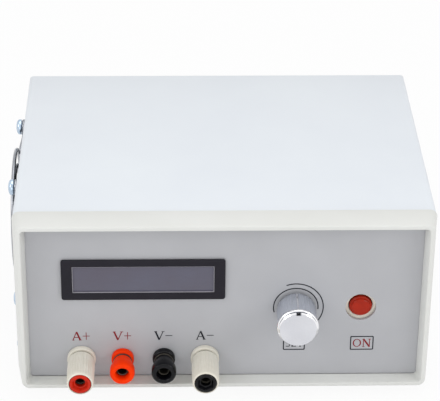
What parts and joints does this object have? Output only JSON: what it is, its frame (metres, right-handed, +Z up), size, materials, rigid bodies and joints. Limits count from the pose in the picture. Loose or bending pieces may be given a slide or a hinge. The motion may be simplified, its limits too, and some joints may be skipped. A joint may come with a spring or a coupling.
{
  "type": "electronic load",
  "caption": "Bench electronic load: steel case, moulded front with display, knob, push button, four binding posts, and a guarded side fan.",
  "frame": {"origin": "on the surface that the feet stand on, below the middle of the whole unit", "axes": "+Z up, +X to the right of someone who looks at the front, the front faces -Y"},
  "size_m": [0.1982, 0.1706, 0.0912],
  "materials": {
    "bezel_abs": "off-white moulded ABS, fine satin texture",
    "panel_paint": "grey satin printed panel",
    "cover_paint": "pale blue-white fine powder coat",
    "tray_paint": "pale powder coat",
    "foot_rubber": "black moulded rubber",
    "zinc_plated_steel": "bright zinc plated steel",
    "display_frame_plastic": "near-black moulded plastic",
    "display_glass": "grey-violet display behind glass, opaque",
    "board_laminate": "green printed circuit board",
    "plated_steel": "tin plated steel",
    "rotor_nylon": "natural nylon",
    "turned_aluminium": "turned and fluted bright aluminium",
    "cream_plastic": "cream moulded plastic",
    "button_red_plastic": "translucent red moulded plastic",
    "switch_body_plastic": "black moulded plastic",
    "nickel_plated_brass": "bright nickel plated brass",
    "post_red_plastic": "orange-red moulded plastic",
    "post_black_plastic": "black moulded plastic",
    "fan_plastic": "black moulded plastic",
    "chromed_wire": "chromed steel wire",
    "extruded_aluminium": "plain extruded aluminium",
    "moulded_epoxy": "black moulded epoxy",
    "manganin_wire": "bare copper-coloured resistance wire",
    "socket_plastic": "black moulded plastic"
  },
  "bodies": {
    "chassis": {"base_tray": "tray_paint", "button_housing": "switch_body_plastic", "button_ring": "cream_plastic", "cover_screw_1": "zinc_plated_steel", "cover_screw_2": "zinc_plated_steel", "cover_screw_3": "zinc_plated_steel", "cover_screw_4": "zinc_plated_steel", "current_minus_collar": "cream_plastic", "current_minus_nut": "nickel_plated_brass", "current_minus_stud": "nickel_plated_brass", "current_plus_collar": "cream_plastic", "current_plus_nut": "nickel_plated_brass", "current_plus_stud": "nickel_plated_brass", "current_shunt": "manganin_wire", "data_socket": "plated_steel", "dc_jack": "socket_plastic", "encoder_body": "plated_steel", "encoder_nut": "zinc_plated_steel", "fan_frame": "fan_plastic", "fan_guard": "chromed_wire", "foot_1": "foot_rubber", "foot_2": "foot_rubber", "foot_3": "foot_rubber", "foot_4": "foot_rubber", "front_bezel": "bezel_abs", "front_panel": "panel_paint", "guard_screw_1": "zinc_plated_steel", "guard_screw_2": "zinc_plated_steel", "guard_screw_3": "zinc_plated_steel", "guard_screw_4": "zinc_plated_steel", "heat_sink": "extruded_aluminium", "lcd_board": "board_laminate", "lcd_frame": "display_frame_plastic", "lcd_glass": "display_glass", "main_board": "board_laminate", "power_transistor_1": "moulded_epoxy", "power_transistor_2": "moulded_epoxy", "rear_panel": "tray_paint", "top_cover": "cover_paint", "voltage_minus_collar": "post_black_plastic", "voltage_minus_nut": "nickel_plated_brass", "voltage_minus_stud": "nickel_plated_brass", "voltage_plus_collar": "post_red_plastic", "voltage_plus_nut": "nickel_plated_brass", "voltage_plus_stud": "nickel_plated_brass"},
    "fan_rotor": {"fan_rotor": "fan_plastic"},
    "encoder_rotor": {"encoder_rotor": "rotor_nylon"},
    "knob": {"knob": "turned_aluminium", "encoder_shaft": "plated_steel"},
    "button_cap": {"button_cap": "button_red_plastic"},
    "current_plus_washer": {"current_plus_washer": "nickel_plated_brass"},
    "current_plus_cap": {"current_plus_cap": "cream_plastic", "current_plus_insert": "post_red_plastic"},
    "voltage_plus_washer": {"voltage_plus_washer": "nickel_plated_brass"},
    "voltage_plus_cap": {"voltage_plus_cap": "post_red_plastic"},
    "voltage_minus_washer": {"voltage_minus_washer": "nickel_plated_brass"},
    "voltage_minus_cap": {"voltage_minus_cap": "post_black_plastic"},
    "current_minus_washer": {"current_minus_washer": "nickel_plated_brass"},
    "current_minus_cap": {"current_minus_cap": "cream_plastic", "current_minus_insert": "post_black_plastic"}
  },
  "joints": [
    {"name": "fan_spin", "type": "hinge", "parent": "chassis", "child": "fan_rotor", "pos_m": [-0.0932, 0.0177, 0.0493], "axis": [-1, 0, 0], "continuous": true},
    {"name": "knob_turn", "type": "hinge", "parent": "chassis", "child": "encoder_rotor", "pos_m": [0.03415, -0.0631, 0.0443], "axis": [0, -1, 0], "continuous": true},
    {"name": "knob_press", "type": "slide", "parent": "encoder_rotor", "child": "knob", "axis": [0, 1, 0], "range_m": [0, 0.0015], "stiffness_N_per_m": 1000, "springref_m": -0.001},
    {"name": "button_press", "type": "slide", "parent": "chassis", "child": "button_cap", "axis": [0, 1, 0], "range_m": [0, 0.0015], "stiffness_N_per_m": 500, "springref_m": -0.001},
    {"name": "current_plus_travel", "type": "slide", "parent": "chassis", "child": "current_plus_washer", "axis": [0, -1, 0], "range_m": [0, 0.006]},
    {"name": "current_plus_turn", "type": "hinge", "parent": "current_plus_washer", "child": "current_plus_cap", "pos_m": [-0.06453, -0.0703, 0.0174], "axis": [0, -1, 0], "range_deg": [0, 2160]},
    {"name": "voltage_plus_travel", "type": "slide", "parent": "chassis", "child": "voltage_plus_washer", "axis": [0, -1, 0], "range_m": [0, 0.004]},
    {"name": "voltage_plus_turn", "type": "hinge", "parent": "voltage_plus_washer", "child": "voltage_plus_cap", "pos_m": [-0.04548, -0.0703, 0.0174], "axis": [0, -1, 0], "range_deg": [0, 1440]},
    {"name": "voltage_minus_travel", "type": "slide", "parent": "chassis", "child": "voltage_minus_washer", "axis": [0, -1, 0], "range_m": [0, 0.004]},
    {"name": "voltage_minus_turn", "type": "hinge", "parent": "voltage_minus_washer", "child": "voltage_minus_cap", "pos_m": [-0.02643, -0.0703, 0.0174], "axis": [0, -1, 0], "range_deg": [0, 1440]},
    {"name": "current_minus_travel", "type": "slide", "parent": "chassis", "child": "current_minus_washer", "axis": [0, -1, 0], "range_m": [0, 0.006]},
    {"name": "current_minus_turn", "type": "hinge", "parent": "current_minus_washer", "child": "current_minus_cap", "pos_m": [-0.00738, -0.0703, 0.0174], "axis": [0, -1, 0], "range_deg": [0, 2160]}
  ],
  "couplings": [
    {"joint": "current_plus_turn", "follows": "current_plus_travel", "rad_per_m": 6283.2},
    {"joint": "voltage_plus_turn", "follows": "voltage_plus_travel", "rad_per_m": 6283.2},
    {"joint": "voltage_minus_turn", "follows": "voltage_minus_travel", "rad_per_m": 6283.2},
    {"joint": "current_minus_turn", "follows": "current_minus_travel", "rad_per_m": 6283.2}
  ]
}
